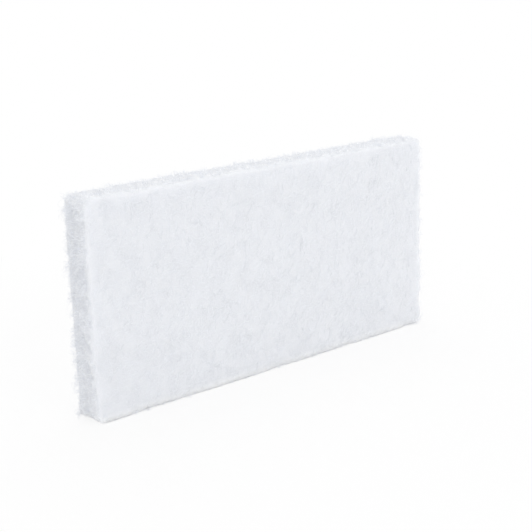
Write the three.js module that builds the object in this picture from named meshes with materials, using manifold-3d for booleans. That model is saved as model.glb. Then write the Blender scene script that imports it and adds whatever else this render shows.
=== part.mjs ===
// A nonwoven nylon scouring pad: one slab, cut from a thick springy web of crimped and bonded fibres.
// It stands on one long cut side. X runs along the pad, Y through its thickness and Z up, and the
// origin is the middle of the side that it stands on. Lengths are in millimetres.
// The two broad faces are the web's own skins: flat crests with shallow pits between the fibres.
// The four cut sides are frayed: their tufts rise and fall, and loose strands stand out of them.
import * as THREE from "three";
import { mergeVertices } from "three/addons/utils/BufferGeometryUtils.js";
import Module from "manifold-3d";

// The slab
const padLength = 245;
const padHeight = 120;
const padThickness = 20;
const cornerRadius = 5; // where two cut sides meet
const edgeRadius = 2.6; // where a cut side meets a broad face

// The frayed cut sides
const tuftSize = 2.8; // width of a tuft
const tuftRelief = 0.95; // how far a tuft stands out of the cut, or lies back in it
const endPitch = 2; // spacing of the points that carry the tufts, along an end
const topPitch = 3.4; // the same along the long side on top
const bottomPitch = 6; // the same along the long side that the pad stands on
const acrossPitch = 3; // the same across any cut side
const cutWander = 0.35; // how far the cut strays from a straight line
const wanderLength = 45; // the length of one such stray

// The broad faces
const facePitch = 7.5; // spacing of the points that carry the pits
const pitSize = 11; // width of a pit
const pitDepth = 0.7;
const crestShare = 0.45; // the share of the web that stays at the level of the face

// The loose strands
const endSpacing = 3; // from one strand to the next along an end
const topSpacing = 5.4; // the same along the long side on top
const strandDiameter = 0.5;
const endReach = 2.5; // how far a strand stands out of an end
const topReach = 1.7; // the same for the long side on top
const strandGrip = 1.3; // how deep it is rooted in the web
const strandSway = 3.2; // how far its other end lies aside
const strandTurn = Math.PI / 3; // how far that end may lie off the cut's own direction
const loopShare = 0.3; // the share of the strands that return into the web as loops

const roundingSteps = 2; // facets in the quarter round of an edge
const strandSides = 3;
const strandSteps = 3;
const loopSteps = 5;

const sidesOfOutline = 4;
const quarterTurn = Math.PI / 2;
const halfThickness = padThickness / 2;
const middleHeight = padHeight / 2;
const edgeRound = Math.min(edgeRadius, cornerRadius, halfThickness);
const flatReach = halfThickness - edgeRound; // from the middle of a cut side to where it turns

/** A repeatable number from 0 to 1 for one corner of a lattice of whole numbers. */
function cornerValue(i, j, k) {
  let mixed = Math.imul(i, 374761393) ^ Math.imul(j, 668265263) ^ Math.imul(k, 1274126177);
  mixed = Math.imul(mixed ^ (mixed >>> 13), 1103515245);
  mixed = Math.imul(mixed ^ (mixed >>> 15), 2246822519);
  return ((mixed ^ (mixed >>> 16)) >>> 0) / 2 ** 32;
}

/** Smooth noise from 0 to 1 whose hills are about one size wide. */
function noise(point, size) {
  const place = point.toArray().map((value) => value / size);
  const low = place.map(Math.floor);
  const [u, v, w] = place.map((value, axis) => THREE.MathUtils.smoothstep(value - low[axis], 0, 1));
  const corner = (i, j, k) => cornerValue(low[0] + i, low[1] + j, low[2] + k);
  const along = (j, k) => THREE.MathUtils.lerp(corner(0, j, k), corner(1, j, k), u);
  const across = (k) => THREE.MathUtils.lerp(along(0, k), along(1, k), v);
  return THREE.MathUtils.lerp(across(0), across(1), w);
}

/** How far the web stands out of a cut side at a point: coarse and fine tufts on a wandering cut. */
function tuftHeight(point) {
  const signed = (size) => 2 * noise(point, size) - 1;
  return tuftRelief * (signed(tuftSize) + signed(3 * tuftSize) / 2) + cutWander * signed(wanderLength);
}

/** How deep a pressed side lies below its own plane at a point: nothing on a crest, most in a pit. */
function pitFall(point) {
  return pitDepth * THREE.MathUtils.smoothstep(noise(point, pitSize), crestShare, 1);
}

/**
 * Moves a point of the plain slab to the surface of the web.
 * The side that the pad stands on is pressed, like the broad faces, and nothing reaches below it.
 */
function weather(point, normal) {
  const pressed = Math.max(0, -normal.z) ** 2;
  const frayed = 1 - normal.y ** 2 - pressed;
  const rise = frayed * tuftHeight(point) - (1 - frayed) * pitFall(point);
  const moved = point.clone().addScaledVector(normal, rise);
  moved.z = Math.max(0, moved.z);
  return moved;
}

/**
 * The stations round the pad's outline, anticlockwise from the lower left corner, seen from -Y.
 * The pitches are those of the bottom, the right end, the top and the left end. A station has an
 * anchor on the rectangle of the corner centres, an outward direction, and its progress: how many
 * sides, and which share of the next one, lie behind it.
 */
function outlineStations(pitches) {
  const reachX = padLength / 2 - cornerRadius;
  const reachZ = padHeight / 2 - cornerRadius;
  const corners = [
    [-reachX, -reachZ],
    [reachX, -reachZ],
    [reachX, reachZ],
    [-reachX, reachZ],
  ].map(([x, z]) => new THREE.Vector2(x, z));
  const cornerSteps = Math.max(1, Math.round((quarterTurn * cornerRadius) / Math.min(...pitches)));
  const stations = [];
  for (let side = 0; side < sidesOfOutline; side++) {
    const from = corners[side];
    const to = corners[(side + 1) % sidesOfOutline];
    const facing = (side - 1) * quarterTurn;
    const steps = Math.max(1, Math.round(from.distanceTo(to) / pitches[side]));
    for (let step = 0; step <= steps; step++) {
      stations.push(stationAt(from.clone().lerp(to, step / steps), facing, side + step / steps));
    }
    for (let step = 1; step < cornerSteps; step++) {
      stations.push(stationAt(to, facing + (quarterTurn * step) / cornerSteps, side + 1));
    }
  }
  return stations;
}

/** One station of the outline. */
function stationAt(anchor, facing, progress) {
  return { anchor, outX: Math.cos(facing), outZ: Math.sin(facing), progress };
}

/**
 * The section of a cut side, from the front face round to the back one: a quarter round, the
 * tuft rows, and a quarter round. A turn of -1 faces -Y, 0 faces out of the cut and 1 faces +Y.
 */
function sectionRows() {
  const turns = Array.from({ length: roundingSteps }, (_, step) => 1 - step / roundingSteps);
  const front = turns.map((turn) => ({ turn: -turn, centreY: -flatReach }));
  const back = turns.map((turn) => ({ turn, centreY: flatReach })).reverse();
  const tuftRows = Math.max(1, Math.round((2 * flatReach) / acrossPitch));
  const middle = Array.from({ length: tuftRows + 1 }, (_, row) => ({
    turn: 0,
    centreY: THREE.MathUtils.lerp(-flatReach, flatReach, row / tuftRows),
  }));
  return [...front, ...middle, ...back];
}

/** The plain slab's point and normal at one station of one row of the section. */
function slabPoint(station, row) {
  const angle = row.turn * quarterTurn;
  const normal = new THREE.Vector3(
    station.outX * Math.cos(angle),
    Math.sin(angle),
    station.outZ * Math.cos(angle),
  );
  const outward = cornerRadius - edgeRound + edgeRound * Math.cos(angle);
  const point = new THREE.Vector3(
    station.anchor.x + station.outX * outward,
    row.centreY + edgeRound * Math.sin(angle),
    middleHeight + station.anchor.y + station.outZ * outward,
  );
  return { point, normal };
}

/** A closed surface that grows by vertices and triangles. */
class Surface {
  positions = [];
  triangles = [];

  /** Adds a point of the plain slab, weathered, and gives its number. */
  addVertex(point, normal) {
    this.positions.push(...weather(point, normal).toArray());
    return this.positions.length / 3 - 1;
  }

  /** Adds the vertices of one row of the section as a closed loop. */
  addLoop(stations, row) {
    return stations.map((station) => {
      const { point, normal } = slabPoint(station, row);
      return { vertex: this.addVertex(point, normal), progress: station.progress };
    });
  }

  /** Fills the band between two loops, always moving on along the one that lags. */
  stitch(first, second) {
    const at = (loop, step) => loop[step % loop.length].vertex;
    const progress = (loop, step) =>
      loop[step % loop.length].progress + sidesOfOutline * Math.floor(step / loop.length);
    let i = 0;
    let j = 0;
    while (i < first.length || j < second.length) {
      const lead = progress(first, i + 1) - progress(second, j + 1);
      const firstLags = lead < 0 || (lead === 0 && i <= j);
      if (j === second.length || (i < first.length && firstLags)) {
        this.triangles.push(at(first, i), at(second, j), at(first, i + 1));
        i++;
      } else {
        this.triangles.push(at(first, i), at(second, j), at(second, j + 1));
        j++;
      }
    }
  }

  /** Adds the grid of a broad face inside its rim, and gives the grid's edge as a closed loop. */
  addFace(facing) {
    const reachX = padLength / 2 - cornerRadius;
    const reachZ = padHeight / 2 - cornerRadius;
    const columns = Math.max(2, Math.round((2 * reachX) / facePitch));
    const rows = Math.max(2, Math.round((2 * reachZ) / facePitch));
    const normal = new THREE.Vector3(0, facing, 0);
    const grid = Array.from({ length: rows + 1 }, (_, row) =>
      Array.from({ length: columns + 1 }, (_, column) => {
        const x = THREE.MathUtils.lerp(-reachX, reachX, column / columns);
        const z = middleHeight + THREE.MathUtils.lerp(-reachZ, reachZ, row / rows);
        return this.addVertex(new THREE.Vector3(x, facing * halfThickness, z), normal);
      }),
    );
    for (let row = 0; row < rows; row++) {
      for (let column = 0; column < columns; column++) {
        this.addCell(grid, row, column, facing);
      }
    }
    return gridEdge(grid, rows, columns);
  }

  /** Adds the two triangles of a grid cell, whose diagonal leans either way in turn. */
  addCell(grid, row, column, facing) {
    const a = grid[row][column];
    const b = grid[row][column + 1];
    const c = grid[row + 1][column + 1];
    const d = grid[row + 1][column];
    const cell = (row + column) % 2 ? [a, b, c, a, c, d] : [a, b, d, b, c, d];
    this.triangles.push(...(facing < 0 ? cell : cell.reverse()));
  }

  /** The surface as an indexed geometry. */
  geometry() {
    return indexedGeometry(new Float32Array(this.positions), new Uint32Array(this.triangles));
  }
}

/** The edge of a face's grid as a closed loop, anticlockwise from the lower left corner. */
function gridEdge(grid, rows, columns) {
  const loop = [];
  for (let column = 0; column < columns; column++) {
    loop.push({ vertex: grid[0][column], progress: column / columns });
  }
  for (let row = 0; row < rows; row++) {
    loop.push({ vertex: grid[row][columns], progress: 1 + row / rows });
  }
  for (let column = columns; column > 0; column--) {
    loop.push({ vertex: grid[rows][column], progress: 3 - column / columns });
  }
  for (let row = rows; row > 0; row--) {
    loop.push({ vertex: grid[row][0], progress: 4 - row / rows });
  }
  return loop;
}

/** A geometry from vertex positions and triangle indices. */
function indexedGeometry(positions, indices) {
  return new THREE.BufferGeometry()
    .setAttribute("position", new THREE.BufferAttribute(positions, 3))
    .setIndex(new THREE.BufferAttribute(indices, 1));
}

/** The slab itself: front face, the rows round its cut sides, and back face. */
function webGeometry() {
  const surface = new Surface();
  const stations = outlineStations([bottomPitch, endPitch, topPitch, endPitch]);
  const loops = sectionRows().map((row) => surface.addLoop(stations, row));
  const closed = [surface.addFace(-1), ...loops, surface.addFace(1)];
  for (let band = 1; band < closed.length; band++) {
    surface.stitch(closed[band - 1], closed[band]);
  }
  return surface.geometry();
}

/**
 * The bent line of a strand that leaves the web at a point. A loop returns into the web at the
 * far end of its lean. Any other strand ends there in the open, lying over by its droop. Both
 * keep between the broad faces and above the level that the pad stands on.
 */
function strandCurve(surfacePoint, outward, reach, lean, isLoop, droop) {
  const at = (height, share) => {
    const point = surfacePoint.clone().addScaledVector(outward, height).addScaledVector(lean, share);
    point.y = THREE.MathUtils.clamp(point.y, -flatReach, flatReach);
    point.z = Math.max(strandDiameter, point.z);
    return point;
  };
  const loopPull = (4 * reach + strandGrip) / 3;
  const points = isLoop
    ? [at(-strandGrip, 0), at(loopPull, 0), at(loopPull, 1), at(-strandGrip, 1)]
    : [at(-strandGrip, 0), at(reach, 0), at(reach, 1 / 3), at(reach * droop, 1)];
  return new THREE.CubicBezierCurve3(...points);
}

/** A strand as a thin closed bar along its line. */
function strandGeometry(curve, steps) {
  const corners = Array.from({ length: strandSides }, (_, side) => {
    const angle = (2 * Math.PI * side) / strandSides;
    return new THREE.Vector2(Math.cos(angle), Math.sin(angle)).multiplyScalar(strandDiameter / 2);
  });
  return new THREE.ExtrudeGeometry(new THREE.Shape(corners), { steps, extrudePath: curve });
}

/** The loose strands of the three cut sides that the pad doesn't stand on. */
function strandGeometries() {
  const spacings = [topSpacing, endSpacing, topSpacing, endSpacing];
  const stations = outlineStations(spacings).filter((station) => station.outZ >= 0);
  return stations.map((station, number) => {
    const chance = (draw) => cornerValue(number, draw, 0);
    const outward = new THREE.Vector3(station.outX, 0, station.outZ);
    const alongCut = new THREE.Vector3(-station.outZ, 0, station.outX);
    const root = new THREE.Vector3(station.anchor.x, 0, middleHeight + station.anchor.y);
    root.addScaledVector(outward, cornerRadius);
    root.y = THREE.MathUtils.lerp(-flatReach, flatReach, chance(1));
    root.addScaledVector(outward, tuftHeight(root));
    const turn = THREE.MathUtils.lerp(-strandTurn, strandTurn, chance(2));
    const lean = alongCut.multiplyScalar(Math.cos(turn) * (chance(3) < 0.5 ? -1 : 1));
    lean.y = Math.sin(turn);
    lean.multiplyScalar(strandSway);
    const isLoop = chance(4) < loopShare;
    const reach = THREE.MathUtils.lerp(endReach, topReach, station.outZ ** 2);
    const curve = strandCurve(root, outward, reach, lean, isLoop, chance(5));
    return strandGeometry(curve, isLoop ? loopSteps : strandSteps);
  });
}

const wasm = await Module();
wasm.setup();

/** A closed geometry as a solid that can be joined. */
function solidOf(geometry) {
  const bare = geometry.clone();
  bare.deleteAttribute("normal");
  bare.deleteAttribute("uv");
  const merged = mergeVertices(bare);
  return new wasm.Manifold(
    new wasm.Mesh({
      numProp: 3,
      vertProperties: merged.attributes.position.array,
      triVerts: new Uint32Array(merged.index.array),
    }),
  );
}

/** A solid as a geometry again. */
function geometryOf(solid) {
  const { vertProperties, triVerts } = solid.getMesh();
  return indexedGeometry(vertProperties, triVerts);
}

/** The pad's one mesh: the web with its strands grown together. */
function padMesh() {
  const strands = strandGeometries().map(solidOf);
  const pad = strands.reduce((whole, strand) => whole.add(strand), solidOf(webGeometry()));
  const nylon = new THREE.MeshStandardMaterial({ color: 0xe7eaef, roughness: 0.95, metalness: 0 });
  const mesh = new THREE.Mesh(geometryOf(pad), nylon);
  mesh.name = "scouring_pad";
  return mesh;
}

const scouringPad = new THREE.Group();
scouringPad.add(padMesh());

export default scouringPad;
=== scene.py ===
"""A white nonwoven nylon scouring pad that stands on one long cut side.

The pad is one slab of a springy web of crimped nylon fibres. Its look is made of three things: the
dense web, the fibres that lie on its two broad faces, and the fringe that stands out of its cut
sides. X runs along the pad, Y through its thickness and Z up. Lengths are in metres.
"""

import logging
import math
from dataclasses import dataclass, field
from enum import Enum

import bpy
import numpy as np
from mathutils import Matrix, Vector


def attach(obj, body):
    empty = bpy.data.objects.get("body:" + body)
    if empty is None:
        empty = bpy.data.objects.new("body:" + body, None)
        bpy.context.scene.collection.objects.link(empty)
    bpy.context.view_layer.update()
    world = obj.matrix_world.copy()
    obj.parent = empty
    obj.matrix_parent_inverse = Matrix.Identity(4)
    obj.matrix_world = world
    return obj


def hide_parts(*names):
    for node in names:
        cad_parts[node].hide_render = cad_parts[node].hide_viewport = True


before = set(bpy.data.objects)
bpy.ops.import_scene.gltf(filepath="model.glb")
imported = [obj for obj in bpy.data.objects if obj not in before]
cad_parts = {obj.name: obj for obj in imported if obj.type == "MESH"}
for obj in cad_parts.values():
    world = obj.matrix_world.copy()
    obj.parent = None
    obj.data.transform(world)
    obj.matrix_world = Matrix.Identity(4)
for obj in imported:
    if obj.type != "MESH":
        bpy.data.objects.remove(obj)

Colour = tuple[float, float, float, float]
LOG = logging.getLogger("scouring_pad")
PAD_NODE = "scouring_pad"
BODY = "root"
STRAND_MAP = "OFBake"  # the UV map on which each fibre's shade is drawn
MM = 0.001
TURN = 2 * math.pi
NOISE_LOW, NOISE_HIGH = 0.3, 0.7  # between these lie most values of a noise texture
FLOOR_CLEARANCE = 1.4  # a fibre's least height over the floor, in radii
END_TAPER = 0.55  # how much of its radius a fibre loses at its ends
PATCH_SIZE = (0.02, 0.16)  # a fibre's patch on the shade map
PATCH_MARGIN = 0.02  # the shade map's border that no patch touches
CAP_REACH = 0.05  # how far a fibre's end runs past its patch, in patches


class Face(Enum):
    """One of the pad's two broad faces, by the way it looks along Y."""

    FRONT = -1
    BACK = 1


class CutSide(Enum):
    """One of the pad's four cut sides, by the way it looks along X and Z."""

    LEFT_END = (-1, 0)
    RIGHT_END = (1, 0)
    TOP = (0, 1)
    BOTTOM = (0, -1)


def lattice_value(i: np.ndarray, j: np.ndarray, k: np.ndarray) -> np.ndarray:
    """Gives a repeatable number from 0 to 1 for each corner of a lattice of whole numbers.

    The three numbers are multiplied by odd constants and mixed bit by bit.

    Args:
        i: The corners' first whole numbers.
        j: Their second.
        k: Their third.

    Returns:
        One number for each corner.
    """
    i, j, k = (part.astype(np.int64).astype(np.uint32) for part in (i, j, k))
    mixed = (i * np.uint32(374761393)) ^ (j * np.uint32(668265263)) ^ (k * np.uint32(1274126177))
    mixed = (mixed ^ (mixed >> np.uint32(13))) * np.uint32(1103515245)
    mixed = (mixed ^ (mixed >> np.uint32(15))) * np.uint32(2246822519)
    return (mixed ^ (mixed >> np.uint32(16))) / 2.0**32


def value_noise(points: np.ndarray, size: float) -> np.ndarray:
    """Gives smooth noise whose hills are about one size wide.

    It blends the lattice values at the eight corners round each point, with a smooth step
    along each axis.

    Args:
        points: The places, as an array of any shape whose last axis is X, Y and Z.
        size: The lattice's spacing.

    Returns:
        A number from 0 to 1 for each point.
    """
    place = points / size
    low = np.floor(place)
    share = place - low
    u, v, w = np.moveaxis(share * share * (3 - 2 * share), -1, 0)
    i, j, k = np.moveaxis(low, -1, 0)

    def along(dj: int, dk: int) -> np.ndarray:
        """Blends the two corners of one edge along X.

        Args:
            dj: The edge's step along Y.
            dk: Its step along Z.

        Returns:
            The blended values.
        """
        left = lattice_value(i, j + dj, k + dk)
        right = lattice_value(i + 1, j + dj, k + dk)
        return left * (1 - u) + right * u

    near = along(0, 0) * (1 - v) + along(1, 0) * v
    far = along(0, 1) * (1 - v) + along(1, 1) * v
    return near * (1 - w) + far * w


def smooth_step(value: np.ndarray, low: float, high: float) -> np.ndarray:
    """Rises from 0 at low to 1 at high, level at both ends."""
    share = np.clip((value - low) / (high - low), 0, 1)
    return share * share * (3 - 2 * share)


def signed(noise: np.ndarray) -> np.ndarray:
    """Turns noise from 0 to 1 into noise from -1 to 1."""
    return 2 * noise - 1


def unit(vectors: np.ndarray) -> np.ndarray:
    """Scales vectors on the last axis to length 1, and leaves those of no length."""
    return vectors / np.maximum(np.linalg.norm(vectors, axis=-1, keepdims=True), 1e-12)


@dataclass(frozen=True)
class Slab:
    """The pad's plain form: a slab with round corners and edges, and its two kinds of skin."""

    length: float = 245 * MM
    height: float = 120 * MM
    thickness: float = 20 * MM
    corner_radius: float = 5 * MM
    edge_radius: float = 2.6 * MM
    bottom_edge_radius: float = 0.6 * MM
    tuft_size: float = 2.8 * MM
    tuft_relief: float = 0.95 * MM
    coarse_ratio: float = 3
    coarse_share: float = 0.5
    wander: float = 0.35 * MM
    wander_size: float = 45 * MM
    pit_size: float = 11 * MM
    pit_depth: float = 0.7 * MM
    crest_share: float = 0.45

    def rounded(self, raw: np.ndarray) -> tuple[np.ndarray, np.ndarray]:
        """Moves points of a sharp-edged slab onto the round-edged one.

        In plan, a point's offset from the corner centre keeps its larger part as its length and
        takes the offset's own direction, which turns a square corner into a round one. The same
        is done in section, to the offset from the centre of the edge's round. That round is
        smaller where the pad's weight presses its edges square.

        Args:
            raw: Points on the sharp slab, one a row.

        Returns:
            The points on the round slab, and the surface's outward directions there.
        """
        x, y, z = raw[:, 0], raw[:, 1], raw[:, 2] - self.height / 2
        core_x = self.length / 2 - self.corner_radius
        core_z = self.height / 2 - self.corner_radius
        off_x = np.maximum(np.abs(x) - core_x, 0)
        off_z = np.maximum(np.abs(z) - core_z, 0)
        plan = unit(np.stack([np.sign(x) * off_x, np.sign(z) * off_z], axis=1))
        level = np.maximum(off_x, off_z)
        squared = np.maximum(0, -plan[:, 1]) ** 2
        radius = self.edge_radius + (self.bottom_edge_radius - self.edge_radius) * squared
        straight = self.corner_radius - radius
        flat = self.thickness / 2 - radius
        off_out = np.maximum(level - straight, 0)
        off_y = np.maximum(np.abs(y) - flat, 0)
        section = unit(np.stack([off_out, off_y], axis=1))
        reach = np.maximum(off_out, off_y)
        out = np.minimum(level, straight) + reach * section[:, 0]
        new_y = np.sign(y) * (np.minimum(np.abs(y), flat) + reach * section[:, 1])
        points = np.stack([
            np.clip(x, -core_x, core_x) + plan[:, 0] * out,
            new_y,
            np.clip(z, -core_z, core_z) + plan[:, 1] * out + self.height / 2,
        ], axis=1)
        normals = np.stack([
            plan[:, 0] * section[:, 0],
            np.sign(y) * section[:, 1],
            plan[:, 1] * section[:, 0],
        ], axis=1)
        return points, normals

    def tuft_height(self, points: np.ndarray) -> np.ndarray:
        """Tells how far the web stands out of a cut side.

        It is the sum of fine tufts, coarse tufts and the slow wander of the cut.

        Args:
            points: Places on the slab, one a row.

        Returns:
            The height at each place.
        """
        fine = signed(value_noise(points, self.tuft_size))
        coarse = signed(value_noise(points, self.coarse_ratio * self.tuft_size))
        stray = signed(value_noise(points, self.wander_size))
        return self.tuft_relief * (fine + self.coarse_share * coarse) + self.wander * stray

    def pit_fall(self, points: np.ndarray) -> np.ndarray:
        """Tells how deep a pressed side lies: nothing on a crest, most in a pit."""
        return self.pit_depth * smooth_step(value_noise(points, self.pit_size), self.crest_share, 1)

    def shares(self, normals: np.ndarray) -> tuple[np.ndarray, np.ndarray]:
        """Shares each place out between the frayed cut sides and the pressed sides.

        The bottom is pressed, because the pad stands on it.

        Args:
            normals: The surface's outward directions, one a row.

        Returns:
            The frayed share and the pressed share, which add up to 1.
        """
        pressed = np.maximum(0, -normals[:, 2]) ** 2
        frayed = 1 - normals[:, 1] ** 2 - pressed
        return frayed, 1 - frayed


def mesh_object(name: str, vertices: np.ndarray, faces: list[np.ndarray],
                material: bpy.types.Material) -> bpy.types.Object:
    """Puts whole arrays into a smooth mesh and its object.

    Args:
        name: The piece's name.
        vertices: One vertex a row.
        faces: Arrays of vertex numbers, one face a row, each array with faces of one size.
        material: The piece's finish.

    Returns:
        The object, which stands at the origin.
    """
    mesh = bpy.data.meshes.new(name)
    corners = np.concatenate([part.ravel() for part in faces]).astype(np.int32)
    sizes = np.concatenate([np.full(len(part), part.shape[1]) for part in faces])
    starts = np.concatenate([[0], np.cumsum(sizes)[:-1]]).astype(np.int32)
    mesh.vertices.add(len(vertices))
    mesh.vertices.foreach_set("co", vertices.astype(np.float32).ravel())
    mesh.loops.add(len(corners))
    mesh.loops.foreach_set("vertex_index", corners)
    mesh.polygons.add(len(starts))
    mesh.polygons.foreach_set("loop_start", starts)
    mesh.update(calc_edges=True)
    mesh.shade_smooth()
    mesh.materials.append(material)
    piece = bpy.data.objects.new(name, mesh)
    bpy.context.scene.collection.objects.link(piece)
    return piece


def join_pad(piece: bpy.types.Object) -> bpy.types.Object:
    """Makes a finished piece ride on the pad's body, and notes how many triangles it has.

    Args:
        piece: The piece.

    Returns:
        The same piece.
    """
    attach(piece, BODY)
    triangles = sum(len(polygon.vertices) - 2 for polygon in piece.data.polygons)
    LOG.info("%s: %d triangles", piece.name, triangles)
    return piece


class NodeTree:
    """A small helper that adds nodes to a material or world and links them."""

    def __init__(self, tree: bpy.types.NodeTree) -> None:
        """Clears the tree.

        Args:
            tree: The node tree to fill.
        """
        self.tree = tree
        tree.nodes.clear()

    def add(self, kind: str, settings: dict | None = None, **inputs: object) -> bpy.types.Node:
        """Adds one node.

        Args:
            kind: The node's type name.
            settings: Its own properties.
            **inputs: Values or other nodes' sockets for its inputs. An underscore in a name
                stands for a space, and in_0 means the first input.

        Returns:
            The node.
        """
        node = self.tree.nodes.new(kind)
        for name, value in (settings or {}).items():
            setattr(node, name, value)
        for name, value in inputs.items():
            key = int(name[3:]) if name.startswith("in_") else name.replace("_", " ")
            socket = node.inputs[key]
            if isinstance(value, bpy.types.NodeSocket):
                self.tree.links.new(value, socket)
            else:
                socket.default_value = value
        return node

    def noise(self, vector: bpy.types.NodeSocket, size: float, detail: float = 2.0,
              roughness: float = 0.5, distortion: float = 0.0) -> bpy.types.NodeSocket:
        """Adds noise whose patches are about one size wide.

        Args:
            vector: The coordinates to draw on.
            size: The patches' width.
            detail: How many finer layers it has.
            roughness: How strong the finer layers are.
            distortion: How far the patches are pulled out of shape.

        Returns:
            The noise's number.
        """
        node = self.add("ShaderNodeTexNoise", Vector=vector, Scale=1 / size, Detail=detail,
                        Roughness=roughness, Distortion=distortion)
        return node.outputs["Fac"]

    def between(self, value: bpy.types.NodeSocket, low: float, high: float, to_low: float,
                to_high: float) -> bpy.types.NodeSocket:
        """Maps a number from one range to another, and holds it there.

        Args:
            value: The number.
            low: Where its range starts.
            high: Where its range ends.
            to_low: What the start turns into.
            to_high: What the end turns into.

        Returns:
            The new number.
        """
        node = self.add("ShaderNodeMapRange", {"clamp": True}, Value=value, From_Min=low,
                        From_Max=high, To_Min=to_low, To_Max=to_high)
        return node.outputs["Result"]

    def maths(self, operation: str, first: object, second: object) -> bpy.types.NodeSocket:
        """Adds one step of arithmetic."""
        node = self.add("ShaderNodeMath", {"operation": operation}, in_0=first, in_1=second)
        return node.outputs["Value"]

    def blend(self, share: bpy.types.NodeSocket, first: object,
              second: object) -> bpy.types.NodeSocket:
        """Mixes two colours by a share."""
        node = self.add("ShaderNodeMix", {"data_type": "RGBA"}, in_0=share, in_6=first, in_7=second)
        return node.outputs[2]


def new_material(name: str) -> tuple[bpy.types.Material, NodeTree]:
    """Makes an empty node material.

    Args:
        name: Its name.

    Returns:
        The material and its nodes.
    """
    material = bpy.data.materials.new(name)
    material.use_nodes = True
    return material, NodeTree(material.node_tree)


@dataclass(frozen=True)
class WebFinish:
    """The dense web: matt white nylon, cloudy over centimetres and fibrous in its finest grain.

    Its colour is painted lighter along the foot, as painted light against the shade there.
    """

    light: Colour = (0.808, 0.822, 0.852, 1)
    shade: Colour = (0.795, 0.809, 0.839, 1)
    # painted light: the lighter colour along the foot, against the shade there
    painted_foot_light: Colour = (0.945, 0.955, 0.975, 1)
    painted_light_height: float = 5 * MM
    cloud_size: float = 26 * MM
    cloud_share: float = 0.4
    knot_size: float = 5 * MM
    knot_share: float = 0.3
    curl_size: float = 2.4 * MM
    curl_width: float = 0.035
    curl_layers: int = 4
    curl_share: float = 0.3
    layer_shift: float = 0.31
    gap_roughness: float = 0.98
    curl_roughness: float = 0.8
    bump_depth: float = 0.12 * MM
    bump_strength: float = 0.2
    scatter: float = 5 * MM
    scatter_share: float = 1.0

    def build(self) -> bpy.types.Material:
        """Builds the material.

        Returns:
            A material on Object coordinates.
        """
        material, nodes = new_material("nylon web")
        place = nodes.add("ShaderNodeTexCoord").outputs["Object"]
        clouds = nodes.noise(place, self.cloud_size, detail=3, distortion=0.4)
        knots = nodes.noise(place, self.knot_size, detail=3, roughness=0.6, distortion=0.8)
        curls = self.curls(nodes, place)
        cloudy = nodes.between(clouds, NOISE_LOW, NOISE_HIGH, 0, self.cloud_share)
        knotty = nodes.between(knots, NOISE_LOW, NOISE_HIGH, 0, self.knot_share)
        fine = nodes.between(curls, 0, 1, 0, self.curl_share)
        share = nodes.maths("ADD", nodes.maths("ADD", cloudy, knotty), fine)
        above_foot = nodes.add("ShaderNodeSeparateXYZ", Vector=place).outputs["Z"]
        # painted light: the share of the lighter foot colour, which rises towards the floor against
        # the shade there
        loose = nodes.between(above_foot, 0, self.painted_light_height, 1, 0)
        dense = nodes.blend(share, self.shade, self.light)
        colour = nodes.blend(loose, dense, self.painted_foot_light)
        roughness = nodes.between(curls, 0, 1, self.gap_roughness, self.curl_roughness)
        bump = nodes.add("ShaderNodeBump", Strength=self.bump_strength, Distance=self.bump_depth,
                         Height=curls)
        shader = nodes.add("ShaderNodeBsdfPrincipled", Base_Color=colour, Roughness=roughness,
                           Normal=bump.outputs["Normal"], Specular_IOR_Level=0.2,
                           Subsurface_Weight=self.scatter_share, Subsurface_Scale=self.scatter,
                           Subsurface_Radius=(1, 1, 1))
        nodes.add("ShaderNodeOutputMaterial", Surface=shader.outputs["BSDF"])
        return material

    def curls(self, nodes: NodeTree, place: bpy.types.NodeSocket) -> bpy.types.NodeSocket:
        """Draws thin curly lines like fibres.

        A line runs where noise crosses its middle value. Layers of noise from places far apart
        give lines that cross.

        Args:
            nodes: The material's nodes.
            place: The coordinates to draw on.

        Returns:
            A number that is 1 on a line and 0 off it.
        """
        found = None
        for layer in range(self.curl_layers):
            shift = (layer * self.layer_shift,) * 3
            shifted = nodes.add("ShaderNodeMapping", Vector=place, Location=shift)
            wave = nodes.noise(shifted.outputs["Vector"], self.curl_size, detail=1, distortion=0.6)
            away = nodes.maths("ABSOLUTE", nodes.maths("SUBTRACT", wave, 0.5), 0.0)
            line = nodes.between(away, 0, self.curl_width, 1, 0)
            found = line if found is None else nodes.maths("MAXIMUM", found, line)
        return found


@dataclass(frozen=True)
class FibreFinish:
    """A nylon fibre: smooth and nearly white, each one a little lighter or darker than the next."""

    light: Colour = (0.937, 0.952, 0.984, 1)
    shade: Colour = (0.921, 0.936, 0.968, 1)
    tint_size: float = 0.04
    tint_share: float = 0.75
    crimp_size: float = 0.012
    crimp_share: float = 0.25
    smoothest: float = 0.5
    roughest: float = 0.68

    def build(self) -> bpy.types.Material:
        """Builds the material.

        Returns:
            A material on the fibres' own UV map.
        """
        material, nodes = new_material("nylon fibre")
        place = nodes.add("ShaderNodeUVMap", {"uv_map": STRAND_MAP}).outputs["UV"]
        tints = nodes.noise(place, self.tint_size, detail=1)
        crimps = nodes.noise(place, self.crimp_size, detail=1)
        tinted = nodes.between(tints, NOISE_LOW, NOISE_HIGH, 0, self.tint_share)
        crimped = nodes.between(crimps, NOISE_LOW, NOISE_HIGH, 0, self.crimp_share)
        share = nodes.maths("ADD", tinted, crimped)
        colour = nodes.blend(share, self.shade, self.light)
        roughness = nodes.between(crimps, NOISE_LOW, NOISE_HIGH, self.smoothest, self.roughest)
        shader = nodes.add("ShaderNodeBsdfPrincipled", Base_Color=colour, Roughness=roughness,
                           Specular_IOR_Level=0.3)
        nodes.add("ShaderNodeOutputMaterial", Surface=shader.outputs["BSDF"])
        return material


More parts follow.
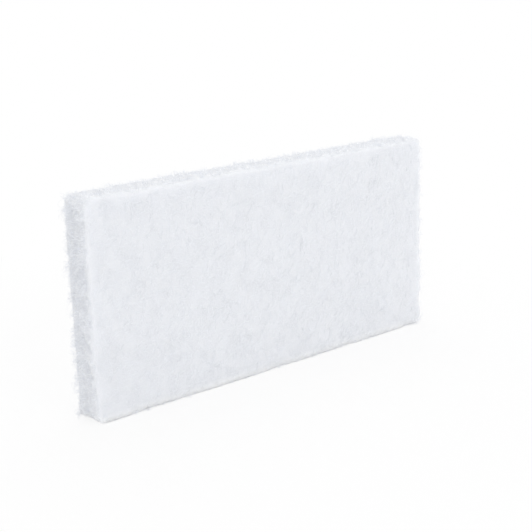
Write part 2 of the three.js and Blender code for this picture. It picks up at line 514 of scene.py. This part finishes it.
@dataclass(frozen=True)
class WebBody:
    """The dense web itself: the slab's skin as one fine closed grid, with its pits and tufts."""

    slab: Slab
    pitch: float = 1.25 * MM
    cut_inset: float = 0.6 * MM
    right_inset: float = -1.6 * MM
    face_inset: float = 0.1 * MM
    grain_size: float = 2.4 * MM
    face_grain: float = 0.04 * MM
    cut_grain: float = 0.5 * MM

    def lattice(self) -> tuple[np.ndarray, np.ndarray]:
        """Covers a sharp-edged slab with even cells.

        Each vertex is a whole-numbered place on the outside of a block of cells, scaled to the
        slab. Opposite sides share their edges' vertices with the others, so the grid is closed.

        Returns:
            The vertices, one a row, and the square faces, which look outwards.
        """
        slab = self.slab
        sides = np.array([slab.length, slab.thickness, slab.height])
        cells = np.maximum(np.round(sides / self.pitch), 2).astype(int)
        inside = np.zeros(cells + 1, bool)
        inside[1:-1, 1:-1, 1:-1] = True
        places = np.argwhere(~inside)
        numbers = np.full(cells + 1, -1)
        numbers[tuple(places.T)] = np.arange(len(places))
        vertices = places / cells * sides - np.array([slab.length / 2, slab.thickness / 2, 0])
        quads = [
            self.cells_of(numbers[0], True), self.cells_of(numbers[-1], False),
            self.cells_of(numbers[:, 0], False), self.cells_of(numbers[:, -1], True),
            self.cells_of(numbers[:, :, 0], True), self.cells_of(numbers[:, :, -1], False),
        ]
        return vertices, np.concatenate(quads)

    @staticmethod
    def cells_of(numbers: np.ndarray, turned: bool) -> np.ndarray:
        """Gives one side's square faces.

        Args:
            numbers: The vertex numbers of the side, as a grid.
            turned: Whether the faces look against the product of the grid's two directions.

        Returns:
            Four vertex numbers a row.
        """
        corners = [numbers[:-1, :-1], numbers[1:, :-1], numbers[1:, 1:], numbers[:-1, 1:]]
        quads = np.stack([corner.ravel() for corner in corners], axis=1)
        return quads[:, ::-1] if turned else quads

    def build(self, material: bpy.types.Material) -> bpy.types.Object:
        """Builds the web.

        A vertex moves along the surface's direction: in from the face by the pits, and out and
        in at a cut side by the tufts, with a finer grain on both.

        Args:
            material: The web's finish.

        Returns:
            The piece, which stands for the pad's solid.
        """
        raw, quads = self.lattice()
        points, normals = self.slab.rounded(raw)
        frayed, pressed = self.slab.shares(normals)
        grain = signed(value_noise(points, self.grain_size))
        right = np.maximum(0, normals[:, 0]) ** 2
        inset = self.cut_inset + (self.right_inset - self.cut_inset) * right
        rise = frayed * (self.slab.tuft_height(points) - inset + self.cut_grain * grain)
        rise += pressed * (self.face_grain * (grain - 1) - self.slab.pit_fall(points))
        rise -= normals[:, 1] ** 2 * self.face_inset
        moved = points + normals * rise[:, None]
        moved[:, 2] = np.maximum(moved[:, 2], 0)
        piece = mesh_object("pad_web", moved, [quads], material)
        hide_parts(PAD_NODE)
        return join_pad(piece)


def fibre_mesh(name: str, paths: np.ndarray, radii: np.ndarray, material: bpy.types.Material,
               rng: np.random.Generator, sides: int = 3) -> bpy.types.Object:
    """Builds many fibres as one mesh of thin closed tubes.

    A ring of points stands square to the path at each of its points. The first ring's direction
    is free, and each next one is the last one's, made square to the path again, so no tube
    twists. Radii shrink towards both ends by the fourth power of the distance from the middle.

    Args:
        name: The piece's name.
        paths: The fibres' points, as fibres by points by X, Y and Z.
        radii: Each fibre's radius.
        material: The fibres' finish.
        rng: The source of each fibre's place on the shade map.
        sides: How many sides a tube has.

    Returns:
        The object, with its shade map.
    """
    count, rings = paths.shape[:2]
    tangents = unit(np.gradient(paths, axis=1))
    normals = np.empty_like(paths)
    normals[:, 0] = unit(np.cross(tangents[:, 0], rng.normal(size=(count, 3))))
    for ring in range(1, rings):
        last = normals[:, ring - 1]
        along = tangents[:, ring]
        normals[:, ring] = unit(last - along * np.sum(last * along, axis=1, keepdims=True))
    sideways = np.cross(tangents, normals)
    place = np.linspace(-1, 1, rings)
    taper = 1 - END_TAPER * place**4
    angles = TURN * np.arange(sides) / sides
    ring_points = (
        np.cos(angles)[None, None, :, None] * normals[:, :, None]
        + np.sin(angles)[None, None, :, None] * sideways[:, :, None]
    )
    widths = radii[:, None, None, None] * taper[None, :, None, None]
    vertices = paths[:, :, None] + ring_points * widths
    numbers = np.arange(count * rings * sides).reshape(count, rings, sides)
    onward = np.roll(numbers, -1, axis=2)
    walls = np.stack([numbers[:, :-1], onward[:, :-1], onward[:, 1:], numbers[:, 1:]], axis=-1)
    caps = np.stack([numbers[:, 0, ::-1], numbers[:, -1]], axis=1)
    faces = [walls.reshape(-1, 4), caps.reshape(-1, sides)]
    piece = mesh_object(name, vertices.reshape(-1, 3), faces, material)
    piece.data.shade_flat()
    draw_shade_map(piece, count, rings - 1, sides, rng)
    return piece


def draw_shade_map(piece: bpy.types.Object, count: int, steps: int, sides: int,
                   rng: np.random.Generator) -> None:
    """Gives each fibre a small patch of its own on the shade map, at a random place.

    The patch runs round the fibre in its width and along it in its height. Each end's corners
    lie on a low arc just past the patch.

    Args:
        piece: The fibres.
        count: How many they are.
        steps: How many stretches each one has.
        sides: How many sides each one has.
        rng: The source of the random places.
    """
    patch = np.array(PATCH_SIZE)
    corner = rng.uniform(PATCH_MARGIN, 1 - PATCH_MARGIN - patch, size=(count, 2))
    side = (np.arange(sides)[:, None] + np.array([0, 1, 1, 0])) / sides
    step = (np.arange(steps)[:, None] + np.array([0, 0, 1, 1])) / steps
    across = np.broadcast_to(side[None, None], (count, steps, sides, 4))
    along = np.broadcast_to(step[None, :, None], (count, steps, sides, 4))
    walls = corner[:, None, None, None] + np.stack([across, along], axis=-1) * patch
    round_cap = np.arange(sides) / sides
    arc = CAP_REACH * np.sin(round_cap * math.pi)
    ends = np.stack([
        np.stack([round_cap, -arc], axis=-1),
        np.stack([round_cap, 1 + arc], axis=-1),
    ])
    caps = corner[:, None, None] + ends[None] * patch
    layer = piece.data.uv_layers.new(name=STRAND_MAP)
    flat = np.concatenate([walls.ravel(), caps.ravel()]).astype(np.float32)
    layer.uv.foreach_set("vector", flat)


@dataclass(frozen=True)
class FaceFibres:
    """The fibres that lie on a broad face, each one out of the web and back into it."""

    slab: Slab
    face: Face
    name: str
    count: int = 5200
    steps: int = 4
    shortest: float = 5 * MM
    longest: float = 15 * MM
    radius: float = 0.042 * MM
    radius_spread: float = 0.25
    crest_low: float = -0.13 * MM
    crest_high: float = 0.01 * MM
    dive: float = 0.6 * MM
    overhang: float = 3.5 * MM
    bend: float = 1.2
    crimp: float = 0.45
    fewest_waves: float = 0.8
    most_waves: float = 1.6

    def paths(self, rng: np.random.Generator) -> np.ndarray:
        """Lays the fibres.

        Seen from the front, a fibre's heading is its first heading, plus a steady bend, plus a
        sine wave for its crimp. Its points are the running sum of the headings' steps. What
        runs past the face's edge turns over it. A point's depth is the fibre's crest in the
        middle, and falls by the fourth power towards both buried ends.

        Args:
            rng: The source of all that is random.

        Returns:
            The points, as fibres by points by X, Y and Z.
        """
        slab, count = self.slab, self.count
        share = np.linspace(0, 1, self.steps + 1)
        length = rng.uniform(self.shortest, self.longest, (count, 1))
        first = rng.uniform(0, TURN, (count, 1))
        bent = rng.normal(0, self.bend, (count, 1)) * share
        waves = TURN * share * rng.uniform(self.fewest_waves, self.most_waves, (count, 1))
        heading = first + bent + self.crimp * np.sin(waves + rng.uniform(0, TURN, (count, 1)))
        x = np.cumsum(np.cos(heading), axis=1) * length / self.steps
        z = np.cumsum(np.sin(heading), axis=1) * length / self.steps
        x += rng.uniform(-0.5, 0.5, (count, 1)) * slab.length - x.mean(axis=1, keepdims=True)
        z += rng.uniform(-0.5, 0.5, (count, 1)) * slab.height - z.mean(axis=1, keepdims=True)
        half_length, half_height = slab.length / 2, slab.height / 2
        past = np.maximum(np.maximum(np.abs(x) - half_length, np.abs(z) - half_height), 0)
        over = self.overhang * np.tanh(past / self.overhang)
        raw = np.stack([
            np.clip(x, -half_length, half_length),
            self.face.value * (slab.thickness / 2 - over),
            np.clip(z, -half_height, half_height) + half_height,
        ], axis=-1)
        crest = rng.uniform(self.crest_low, self.crest_high, (count, 1))
        depth = crest - (crest + self.dive) * (2 * share - 1) ** 4
        points, normals = slab.rounded(raw.reshape(-1, 3))
        frayed, _ = slab.shares(normals)
        skin = frayed * slab.tuft_height(points) - normals[:, 1] ** 2 * slab.pit_fall(points)
        points += normals * (depth.reshape(-1) + skin)[:, None]
        points[:, 2] = np.maximum(points[:, 2], FLOOR_CLEARANCE * self.radius)
        return points.reshape(raw.shape)

    def build(self, material: bpy.types.Material, seed: int) -> bpy.types.Object:
        """Builds the face's fibres.

        Args:
            material: Their finish.
            seed: The number that fixes their chance places.

        Returns:
            The piece.
        """
        rng = np.random.default_rng(seed)
        paths = self.paths(rng)
        least, most = 1 - self.radius_spread, 1 + self.radius_spread
        radii = self.radius * rng.uniform(least, most, len(paths))
        return join_pad(fibre_mesh(self.name, paths, radii, material, rng))


@dataclass(frozen=True)
class Fringe:
    """The fibres that stand out of some of the cut sides.

    Each side has its own number of fibres on a square millimetre and its own reach.
    """

    slab: Slab
    name: str
    sides: tuple[CutSide, ...]
    per_area: tuple[float, ...]
    reaches: tuple[float, ...]
    steps: int = 4
    radius: float = 0.06 * MM
    radius_spread: float = 0.3
    grip: float = 1.6 * MM
    least_lean: float = 0.2
    most_lean: float = 1.6
    least_spread: float = 0.3 * MM
    least_height: float = 0.45
    least_droop: float = 0.1
    elbow: float = 0.7
    loop_share: float = 0.3
    loop_pull: float = 1.5
    rim: float = 1.6 * MM
    rest_depth: float = 0.1 * MM
    tuft_size: float = 2.0 * MM
    tuft_foot: float = 0.35
    tuft_crown: float = 0.8
    clump_size: float = 6 * MM
    clump_least: float = 0.5
    short_share: float = 0.12
    comb: float = 1.2
    comb_ratio: float = 1.5
    looseness: float = 0.5

    def roots(self, side: CutSide, per_area: float,
              rng: np.random.Generator) -> tuple[np.ndarray, np.ndarray]:
        """Picks where the fibres leave one cut side, which at the bottom is only along its rims.

        Args:
            side: The cut side.
            per_area: How many fibres leave a square millimetre.
            rng: The source of the random places.

        Returns:
            The points on the web, and the outward directions there.
        """
        slab = self.slab
        way_x, way_z = side.value
        span = slab.height if way_x else slab.length
        depth = 2 * self.rim if side is CutSide.BOTTOM else slab.thickness
        count = int(per_area * span * depth / MM**2)
        run = rng.uniform(-0.5, 0.5, count) * span
        y = rng.uniform(-0.5, 0.5, count) * slab.thickness
        middle = slab.height / 2
        if side is CutSide.BOTTOM:
            rim = rng.uniform(0, self.rim, count)
            raw = np.stack([run, np.sign(y) * slab.thickness / 2, rim], axis=1)
        elif way_x:
            raw = np.stack([np.full(count, way_x * slab.length / 2), y, middle + run], axis=1)
        else:
            raw = np.stack([run, y, np.full(count, middle + way_z * middle)], axis=1)
        points, normals = slab.rounded(raw)
        frayed, pressed = slab.shares(normals)
        rise = frayed * slab.tuft_height(points) - pressed * self.rest_depth
        return points + normals * rise[:, None], normals

    def paths(self, rng: np.random.Generator) -> np.ndarray:
        """Bends the fibres.

        A fibre is a cubic Bezier curve from its root in the web, straight out, and over to one
        side. A loop's far end goes back into the web. The fibres of one tuft are long and lean
        much the same way, and those between the tufts are short.

        Args:
            rng: The source of all that is random.

        Returns:
            The points, as fibres by points by X, Y and Z.
        """
        parts = []
        for side, per_area, reach in zip(self.sides, self.per_area, self.reaches):
            points, normals = self.roots(side, per_area, rng)
            count = len(points)
            tufts = value_noise(points, self.tuft_size)
            tuft = smooth_step(tufts, self.tuft_foot, self.tuft_crown)
            clump = self.clump_least + value_noise(points + self.clump_size, self.clump_size)
            tall = self.short_share + (1 - self.short_share) * tuft * clump
            height = reach * tall * rng.uniform(self.least_height, 1, count)
            comb_size = self.comb_ratio * self.tuft_size
            combed = np.stack([
                signed(value_noise(points + shift * self.clump_size, comb_size))
                for shift in (1, 2, 3)
            ], axis=1)
            loose = rng.normal(0, self.looseness, (count, 3))
            aside = unit(np.cross(normals, self.comb * combed + loose))
            lean = rng.uniform(self.least_lean, self.most_lean, count)
            spread = height * lean + self.least_spread
            is_loop = rng.uniform(size=count) < self.loop_share
            droop = rng.uniform(self.least_droop, 1, count)
            pull = np.where(is_loop, self.loop_pull, 1.0)
            start = points - normals * self.grip
            out = points + normals * (height * pull)[:, None]
            over = out + aside * (spread * self.elbow)[:, None]
            end_height = np.where(is_loop, -self.grip, height * droop)
            end = points + aside * spread[:, None] + normals * end_height[:, None]
            share = np.linspace(0, 1, self.steps + 1)[None, :, None]
            back = 1 - share
            parts.append(
                back**3 * start[:, None] + 3 * back**2 * share * out[:, None]
                + 3 * back * share**2 * over[:, None] + share**3 * end[:, None]
            )
        found = np.concatenate(parts)
        found[..., 2] = np.maximum(found[..., 2], FLOOR_CLEARANCE * self.radius)
        return found

    def build(self, material: bpy.types.Material, seed: int) -> bpy.types.Object:
        """Builds the fringe.

        Args:
            material: Its finish.
            seed: The number that fixes its chance places.

        Returns:
            The piece.
        """
        rng = np.random.default_rng(seed)
        paths = self.paths(rng)
        least, most = 1 - self.radius_spread, 1 + self.radius_spread
        radii = self.radius * rng.uniform(least, most, len(paths))
        return join_pad(fibre_mesh(self.name, paths, radii, material, rng))


@dataclass(frozen=True)
class CameraPlace:
    """The photograph's viewpoint, found from the pad's own edges."""

    azimuth: float = math.radians(-40.101)
    elevation: float = math.radians(14.688)
    roll: float = math.radians(-1.933)
    distance: float = 682.7 * MM
    slide_right: float = -0.21 * MM
    slide_up: float = 57.83 * MM
    focal_pixels: float = 1160.7
    frame_pixels: float = 532
    sensor: float = 36.0
    nearest: float = 0.01
    farthest: float = 20

    def build(self) -> bpy.types.Object:
        """Builds the camera.

        It looks back along its direction from the origin, rolls about that line, and then slides
        right and up in its own picture plane.

        Returns:
            The camera.
        """
        a, e, r = self.azimuth, self.elevation, self.roll
        back = Vector((math.sin(a) * math.cos(e), -math.cos(a) * math.cos(e), math.sin(e)))
        level_right = Vector((math.cos(a), math.sin(a), 0))
        level_up = back.cross(level_right)
        right = math.cos(r) * level_right + math.sin(r) * level_up
        up = -math.sin(r) * level_right + math.cos(r) * level_up
        place = back * self.distance + right * self.slide_right + up * self.slide_up
        data = bpy.data.cameras.new("camera")
        data.sensor_width = self.sensor
        data.lens = self.sensor * self.focal_pixels / self.frame_pixels
        data.clip_start, data.clip_end = self.nearest, self.farthest
        camera = bpy.data.objects.new("camera", data)
        turn = Matrix((right, up, back)).transposed().to_4x4()
        camera.matrix_world = Matrix.Translation(place) @ turn
        bpy.context.scene.collection.objects.link(camera)
        bpy.context.scene.camera = camera
        return camera


@dataclass(frozen=True)
class Lamp:
    """A square soft lamp that looks at the pad."""

    name: str
    place: tuple[float, float, float]
    side: float
    power: float
    target: tuple[float, float, float] = (0, 0, 0.06)

    def build(self) -> None:
        """Builds the lamp."""
        data = bpy.data.lights.new(self.name, "AREA")
        data.shape = "SQUARE"
        data.size = self.side
        data.energy = self.power
        lamp = bpy.data.objects.new(self.name, data)
        lamp.location = self.place
        way = Vector(self.target) - Vector(self.place)
        lamp.rotation_euler = way.to_track_quat("-Z", "Y").to_euler()
        bpy.context.scene.collection.objects.link(lamp)


@dataclass(frozen=True)
class Studio:
    """A plain white floor under an even white sky, with soft lamps."""

    sky: float = 0.855
    floor_colour: Colour = (0.98, 0.98, 0.98, 1)
    floor_glow: float = 0.8
    floor_radius: float = 3.0
    floor_corners: int = 64
    shadow_reach: float = 0.35
    lamps: tuple[Lamp, ...] = field(default_factory=lambda: (
        Lamp("overhead", (0.4, 0.6, 1.25), 1.1, 3.0),
        Lamp("front", (-0.1, -1.8, 0.35), 1.0, 7.4),
    ))

    def build(self) -> None:
        """Builds the sky, the floor and the lamps."""
        self.build_sky()
        self.build_floor()
        for lamp in self.lamps:
            lamp.build()

    def seen(self, nodes: NodeTree) -> bpy.types.NodeSocket:
        """Tells what is seen, also in a mirror or through glass, from what only lights.

        Args:
            nodes: The nodes of a material or of the world.

        Returns:
            A number that is 1 where the surface is seen, and 0 where it only lights.
        """
        path = nodes.add("ShaderNodeLightPath").outputs
        direct = nodes.maths("MAXIMUM", path["Is Camera Ray"], path["Is Glossy Ray"])
        return nodes.maths("MAXIMUM", direct, path["Is Transmission Ray"])

    def build_sky(self) -> None:
        """Builds a sky that shows as white and lights more gently."""
        world = bpy.data.worlds.new("sky")
        world.use_nodes = True
        bpy.context.scene.world = world
        nodes = NodeTree(world.node_tree)
        shown = self.seen(nodes)
        strength = nodes.between(shown, 0, 1, self.sky, 1)
        light = nodes.add("ShaderNodeBackground", Color=(1, 1, 1, 1), Strength=strength)
        nodes.add("ShaderNodeOutputWorld", Surface=light.outputs["Background"])

    def build_floor(self) -> None:
        """Builds a round floor that shows as near white and keeps a soft shadow of the pad."""
        corners = self.floor_corners
        angles = np.linspace(0, TURN, corners, endpoint=False)
        circle = np.stack([np.cos(angles), np.sin(angles), np.zeros(corners)], axis=1)
        material, nodes = new_material("floor")
        place = nodes.add("ShaderNodeTexCoord").outputs["Object"]
        away = nodes.add("ShaderNodeVectorMath", {"operation": "LENGTH"}, in_0=place)
        glow_share = nodes.between(away.outputs["Value"], self.shadow_reach / 2, self.shadow_reach,
                                   self.floor_glow, 1)
        share = nodes.maths("MULTIPLY", self.seen(nodes), glow_share)
        matt = nodes.add("ShaderNodeBsdfDiffuse", Color=self.floor_colour)
        glow = nodes.add("ShaderNodeEmission", Color=(1, 1, 1, 1), Strength=1.0)
        both = nodes.add("ShaderNodeMixShader", in_0=share, in_1=matt.outputs["BSDF"],
                         in_2=glow.outputs["Emission"])
        nodes.add("ShaderNodeOutputMaterial", Surface=both.outputs["Shader"])
        rim = circle * self.floor_radius
        floor = mesh_object("floor", rim, [np.arange(corners)[None]], material)
        floor.data.shade_flat()


def main() -> None:
    """Builds the camera, the studio and the pad, and notes the model's size."""
    logging.basicConfig(level=logging.INFO, format="%(name)s: %(message)s")
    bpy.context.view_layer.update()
    scene = bpy.context.scene
    scene.view_settings.view_transform = "Standard"
    CameraPlace().build()
    Studio().build()
    slab = Slab()
    WebBody(slab).build(WebFinish().build())
    fibre = FibreFinish().build()
    FaceFibres(slab, Face.FRONT, "front_fibres_low").build(fibre, seed=11)
    FaceFibres(slab, Face.FRONT, "front_fibres_high").build(fibre, seed=12)
    FaceFibres(slab, Face.BACK, "back_fibres_low").build(fibre, seed=15)
    FaceFibres(slab, Face.BACK, "back_fibres_high").build(fibre, seed=16)
    ends = (CutSide.LEFT_END, CutSide.RIGHT_END)
    Fringe(slab, "end_fringe", ends, (1.2, 1.5), (3.8 * MM, 4.2 * MM)).build(fibre, seed=13)
    long_sides = (CutSide.TOP, CutSide.BOTTOM)
    Fringe(slab, "long_side_fringe", long_sides, (0.85, 2.4), (1.9 * MM, 1.8 * MM)).build(
        fibre, seed=14)


if __name__ == "__main__":
    main()
